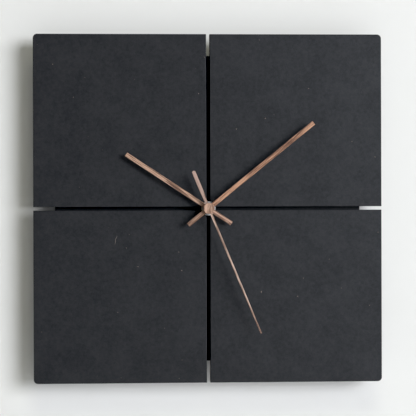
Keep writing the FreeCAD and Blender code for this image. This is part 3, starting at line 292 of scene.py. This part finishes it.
def laminate(name):
    """Green circuit laminate with solder mask over its copper tracks."""
    g = Graph(name)
    blocks = g.cells(520, 0.25, g.stretched((1, 0.001, 1)), "DISTANCE_TO_EDGE")["Distance"]
    tracks = g.span(blocks, 0.16, 0.2)
    weave = g.noise(1, detail=1, rough=0.4, place=g.stretched((2600, 2600, 2600)))
    mask = g.colours(weave, (0.3, (0.012, 0.075, 0.035)), (0.7, (0.02, 0.10, 0.045)))
    colour = g.over(tracks, mask, (0.04, 0.17, 0.07))
    g.relief((tracks, 0.00003), (weave, 0.00001))
    return g.finish(colour, 0.34, Coat_Weight=0.3)


def battery_jacket(name, low, high):
    """A printed steel-and-film jacket: plain bands along the cell, bare metal at both ends."""
    bare, rubbed = (0.55, 0.54, 0.51), (0.3, 0.3, 0.3)
    teal, amber = (0.022, 0.050, 0.060), (0.60, 0.34, 0.10)
    teal_from, amber_from, bare_from, edge = 0.055, 0.720, 0.935, 0.005  # shares of the cell's length
    g = Graph(name)
    print_marks = g.noise(900)
    bands = g.colours(
        g.span(g.axis_part("X"), low.x, high.x),
        (0.0, bare),
        (teal_from, bare),
        (teal_from + edge, teal),
        (amber_from, teal),
        (amber_from + edge, amber),
        (bare_from, amber),
        (bare_from + edge, bare),
    )
    colour = g.over(g.span(print_marks, 0.6, 0.8, to_low=0.0, to_high=0.15), bands, rubbed)
    g.relief((print_marks, 0.00001))
    rough = g.span(g.noise(70, detail=3), 0.3, 0.7, to_low=0.22, to_high=0.36)
    return g.finish(colour, rough, Metallic=0.6, Coat_Weight=0.4)


def rubber(name):
    """Black rubber with a grey bloom on it."""
    g = Graph(name)
    bloom = g.noise(600, detail=4, rough=0.7)
    colour = g.colours(bloom, (0.35, (0.012, 0.012, 0.012)), (0.75, (0.035, 0.034, 0.032)))
    g.relief((bloom, 0.00003))
    return g.finish(colour, g.span(bloom, 0.3, 0.7, to_low=0.85, to_high=0.7))


def pointing(node):
    """How far a hand is turned clockwise from upright, by its point furthest from the axis."""
    flat = [vertex.co - hands_axis for vertex in frame["nodes"][node].data.vertices]
    tip = max(flat, key=lambda way: way.x**2 + way.z**2)
    return math.atan2(tip.x, tip.z)


def wear(material, *nodes):
    for node in nodes:
        for slot in frame["nodes"][node].material_slots:
            slot.material = material


def dress_case():
    charcoal = (0.0127, 0.0129, 0.0146), (0.0298, 0.0303, 0.0334), (0.42, 0.33, 0.27)
    wear(fibreboard("charcoal_fibreboard", *charcoal), *TILES)
    black = (0.0060, 0.0062, 0.0068), (0.0150, 0.0155, 0.0165), (0.05, 0.045, 0.04)
    wear(fibreboard("black_fibreboard", *black), "backing_board")
    grain = (160, 3000, 3000)
    zinc = brushed_metal("zinc_plate", (0.50, 0.50, 0.49), (0.66, 0.66, 0.63), grain, rough=0.32)
    wear(zinc, "hanger_plate", "hanger_screws", "tile_screws")


def dress_hands():
    """Each hand from its own piece of wood, a little different at its point and at its tail. The minute
    hand's darker tail is painted shade from the centre cap.
    """
    tints = {
        "hour_hand": ((1.10, 1.08, 1.05), (1.15, 1.13, 1.15)),
        # the minute hand's darker tail tint is painted shade, where the centre cap shades it
        "minute_hand": ((1.10, 0.93, 0.80), (0.85, 0.81, 0.78)),
        "second_hand": ((1.69, 1.96, 2.25), (0.92, 0.97, 1.10)),
    }
    apart = 0.37  # from one hand's place in the grain to the next one's
    for number, (node, (point, tail)) in enumerate(tints.items(), 1):
        wear(walnut("walnut_" + node, pointing(node), number * apart, point, tail), node)
    cap_turn, cap_seed, cap_tint, cap_fine = pointing("second_hand") + 0.5, 2.1, (1.25, 1.25, 1.25), 2.6
    wear(walnut("walnut_cap", cap_turn, cap_seed, cap_tint, cap_tint, cap_fine), "centre_cap")
    silver = turned_metal("turned_aluminium", (0.62, 0.62, 0.63), (0.75, 0.75, 0.76))
    wear(silver, "hour_hub", "minute_hub")
    brass = turned_metal("turned_brass", (0.60, 0.43, 0.17), (0.72, 0.54, 0.24), rough=0.24)
    wear(brass, "threaded_bush", "washer", "hex_nut", "minute_arbor", "second_hub")


def dress_movement():
    grain = (2600, 90, 2600)
    steel = brushed_metal("bright_steel", (0.58, 0.58, 0.58), (0.70, 0.70, 0.70), grain, rough=0.16)
    wear(steel, "seconds_arbor", "quartz_crystal")
    grain = (200, 2600, 2600)
    iron = brushed_metal("electrical_steel", (0.30, 0.31, 0.32), (0.45, 0.45, 0.46), grain, rough=0.34)
    wear(iron, "stator", "coil_core")
    grain = (2600, 120, 2600)
    nickel = brushed_metal("nickel_strip", (0.52, 0.49, 0.43), (0.68, 0.65, 0.58), grain, rough=0.22)
    wear(nickel, "contact_negative", "contact_positive")
    grain = (900, 900, 900)
    magnet = brushed_metal("magnet_alloy", (0.06, 0.06, 0.065), (0.13, 0.13, 0.135), grain)
    wear(magnet, "rotor_magnet")
    wear(copper_winding("copper_wire", (0.42, 0.14, 0.06), (0.60, 0.24, 0.11)), "coil_winding")
    wear(battery_jacket("cell_jacket", *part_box("battery")), "battery")
    case = moulded("black_case_plastic", (0.010, 0.010, 0.011), (0.019, 0.019, 0.020), 0.52)
    wear(case, "movement_case", "movement_cover")
    wear(moulded("grey_knob_plastic", (0.33, 0.33, 0.32), (0.42, 0.42, 0.41), 0.45), "setting_knob")
    pale, paler = (0.62, 0.60, 0.54), (0.74, 0.72, 0.66)
    acetal = moulded("white_acetal", pale, paler, 0.36, texture=0.000008, Subsurface_Weight=0.15)
    wear(acetal, "centre_plate", "bridge_plate", "coil_bobbin", "rotor_pinion", "fifth_wheel")
    wear(acetal, "seconds_wheel", "third_wheel", "centre_wheel", "minute_wheel", "hour_wheel")
    wear(laminate("circuit_laminate"), "circuit_board")
    dark, light = (0.006, 0.006, 0.006), (0.013, 0.013, 0.013)
    resin = moulded("black_resin", dark, light, 0.2, texture=0.00001, Coat_Weight=0.6)
    wear(resin, "driver_chip")
    wear(rubber("black_rubber"), "rubber_gasket")


def pale_fibre():
    g = Graph("pale_fibre")
    fray = g.noise(2400, detail=3, rough=0.6)
    g.relief((fray, 0.00003))
    return g.finish(g.colours(fray, (0.35, (0.10, 0.09, 0.08)), (0.7, (0.26, 0.22, 0.19))), 0.6)


def lay_undyed_fibre():
    """One pale fibre that lies in the lower left tile's face: a tapered, bent tube, half sunk in it."""
    # its course in millimetres from the hands' axis, to the right and up
    course = [(-78.4, -23.2), (-78.9, -24.6), (-79.9, -26.4), (-79.7, -28.2), (-80.3, -30.6)]
    thickest, end_share, sides, smoothing = 0.00024, 0.35, 8, 2
    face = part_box("tile_bottom_left")[0].y
    centres = [Vector((x / 1000 + hands_axis.x, face, z / 1000 + hands_axis.z)) for x, z in course]
    last = len(centres) - 1
    verts, faces = [], []
    for number, centre in enumerate(centres):
        before, after = centres[max(0, number - 1)], centres[min(last, number + 1)]
        across = (after - before).normalized().cross(WALL_WAY)
        radius = thickest * (end_share + (1 - end_share) * math.sin(math.pi * number / last))
        for side in range(sides):
            turn = 2 * math.pi * side / sides
            verts.append(centre + radius * (math.cos(turn) * across + math.sin(turn) * WALL_WAY))
    for ring in range(last):
        for side in range(sides):
            a, b = ring * sides + side, ring * sides + (side + 1) % sides
            faces.append((a, b, b + sides, a + sides))
    faces.append(tuple(range(sides)))
    faces.append(tuple(reversed(range(len(verts) - sides, len(verts)))))
    mesh = bpy.data.meshes.new("undyed_fibre")
    mesh.from_pydata(verts, [], faces)
    mesh.materials.append(pale_fibre())
    piece = bpy.data.objects.new("undyed_fibre", mesh)
    bpy.context.scene.collection.objects.link(piece)
    smooth = piece.modifiers.new("Smooth", "SUBSURF")
    smooth.levels = smooth.render_levels = smoothing
    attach(piece, "clock_case")


# Stage


def flat_sheet(name, corners, material):
    mesh = bpy.data.meshes.new(name)
    mesh.from_pydata(corners, [], [range(len(corners))])
    made = bpy.data.objects.new(name, mesh)
    bpy.context.scene.collection.objects.link(made)
    made.data.materials.append(material)
    return made


def plaster(name, darkest, lightest):
    """Matt paint on fine plaster, as a graph whose material is ready."""
    g = Graph(name)
    uneven = g.noise(3, detail=3)
    grain = g.noise(900, detail=3, rough=0.6)
    g.relief((grain, 0.00004))
    g.finish(g.colours(uneven, (0.3, (darkest,) * 3), (0.7, (lightest,) * 3)), 0.75)
    return g


def one_sided_plaster():
    """Painted wall seen from the room only. It lets rays through from behind, and the short ones from the
    clock's back, which lies against it, so that the back can be looked at."""
    short = 0.016
    g = plaster("painted_wall", 0.80, 0.83)
    behind = g.node("ShaderNodeNewGeometry").outputs["Backfacing"]
    ray = g.node("ShaderNodeLightPath").outputs
    not_camera = g.maths("SUBTRACT", 1.0, ray["Is Camera Ray"])
    near = g.maths("MULTIPLY", g.maths("LESS_THAN", ray["Ray Length"], short), not_camera)
    mix = g.node("ShaderNodeMixShader")
    g.feed(mix.inputs[0], g.maths("MAXIMUM", behind, near))
    g.feed(mix.inputs[1], g.shader.outputs[0])
    g.feed(mix.inputs[2], g.node("ShaderNodeBsdfTransparent").outputs[0])
    output = next(n for n in g.tree.nodes if n.type == "OUTPUT_MATERIAL")
    g.feed(output.inputs["Surface"], mix.outputs[0])
    return g.material


def build_stage():
    """A wall and a floor, in the clock's frame and in metres. The floor near the clock is there to be seen,
    and the rest of the room's floor, just below it, only throws its light back up."""
    room_half, wall_top, floor_height, wall_place = 4.0, 3.0, -0.95, 0.0004
    near_half, drop = 1.6, 0.001

    def floor_corners(half, height):
        front = [(-half, -half, height), (half, -half, height)]
        return front + [(half, wall_place, height), (-half, wall_place, height)]

    foot = [(-room_half, wall_place, floor_height), (room_half, wall_place, floor_height)]
    head = [(room_half, wall_place, wall_top), (-room_half, wall_place, wall_top)]
    flat_sheet("wall", foot + head, one_sided_plaster())
    pale = plaster("pale_floor", 0.74, 0.77).material
    flat_sheet("floor", floor_corners(near_half, floor_height), pale)
    far = flat_sheet("far_floor", floor_corners(room_half, floor_height - drop), pale)
    far.visible_camera = False


def area_light(name, offset, wide, tall, power, colour):
    """A soft oval light, placed from the hands' axis and aimed at it."""
    data = bpy.data.lights.new(name, "AREA")
    data.shape, data.size, data.size_y = "ELLIPSE", wide, tall
    data.energy, data.color = power, colour
    made = bpy.data.objects.new(name, data)
    made.location = hands_axis + Vector(offset)
    made.rotation_euler = (hands_axis - made.location).to_track_quat("-Z", "Y").to_euler()
    made.visible_camera = False
    bpy.context.scene.collection.objects.link(made)
    return made


def gathered(name, objects):
    """A collection that lights can be linked to."""
    made = bpy.data.collections.new(name)
    for each in objects:
        made.objects.link(each)
    return made


def light_front():
    """A large window in front and to the right, and the room's own light, which reaches only the stage."""
    daylight, lamplight = (0.965, 0.985, 1.01), (1.0, 0.99, 0.78)
    area_light("window", (3.12, -3.99, 0.94), wide=3.0, tall=2.8, power=251, colour=daylight)
    room = area_light("room", (0.2, -2.0, 2.3), wide=1.6, tall=1.2, power=18.5, colour=lamplight)
    room.visible_glossy = False
    surroundings = [bpy.data.objects[name] for name in ("wall", "floor", "far_floor")]
    room.light_linking.receiver_collection = gathered("surroundings", surroundings)


def light_back():
    """Light behind the wall for the clock's back, which gives the tiles no gloss to show in their gaps."""
    nodes = frame["nodes"]
    offset, across, power, white = (-0.2, 2.2, 0.1), 0.8, 70, (1, 1, 1)
    pieces = gathered("clock_pieces", nodes.values())
    tiles = gathered("clock_tiles", [nodes[name] for name in TILES])
    rest = gathered("clock_without_tiles", [made for name, made in nodes.items() if name not in TILES])
    for receivers in (tiles, rest):
        behind = area_light("behind_" + receivers.name, offset, across, across, power, white)
        behind.light_linking.receiver_collection = receivers
        behind.light_linking.blocker_collection = pieces
        behind.visible_glossy = receivers is rest


def fill_room():
    """A pale room, bright where the camera looks past the stage and dim on everything else."""
    dim, bright = 0.022, 0.85
    world = bpy.data.worlds.new("room")
    bpy.context.scene.world = world
    world.use_nodes = True
    tree = world.node_tree
    ground = tree.nodes["Background"]
    ground.inputs["Color"].default_value = (1.0, 0.99, 0.93, 1.0)
    ray = tree.nodes.new("ShaderNodeLightPath")
    strength = tree.nodes.new("ShaderNodeMapRange")
    tree.links.new(ray.outputs["Is Camera Ray"], strength.inputs[0])
    strength.inputs["To Min"].default_value = dim
    strength.inputs["To Max"].default_value = bright
    tree.links.new(strength.outputs[0], ground.inputs["Strength"])


def aim_camera():
    """Seen from just left of the middle, turned a little to the right."""
    place = hands_axis + Vector((-0.0535, -1.226, 0.0028))
    yaw, pitch, roll = (math.radians(degrees) for degrees in (2.540, -0.117, -0.174))
    data = bpy.data.cameras.new("camera")
    data.sensor_width, data.lens = 36.0, 120.8
    data.clip_start, data.clip_end = 0.05, 20.0
    camera = bpy.data.objects.new("camera", data)
    level = Matrix.Rotation(math.pi / 2 + pitch, 4, "X")
    turn = Matrix.Rotation(-yaw, 4, "Z") @ level @ Matrix.Rotation(roll, 4, "Z")
    camera.matrix_world = Matrix.Translation(place) @ turn
    bpy.context.scene.collection.objects.link(camera)
    bpy.context.scene.camera = camera


def set_tones():
    """A plain response, with the deepest shadows closing to black as a contrasty print's do."""
    combined_curve = 3
    toe = (0.008, 0.0006), (0.030, 0.0285), (0.055, 0.0555), (0.2, 0.2)
    view = bpy.context.scene.view_settings
    view.view_transform = "Standard"
    view.use_curve_mapping = True
    points = view.curve_mapping.curves[combined_curve].points
    for at, to in toe:
        points.new(at, to)
    for point in points:
        point.handle_type = "VECTOR"
    view.curve_mapping.update()


dress_case()
dress_hands()
dress_movement()
lay_undyed_fibre()
build_stage()
light_front()
light_back()
fill_room()
aim_camera()
set_tones()
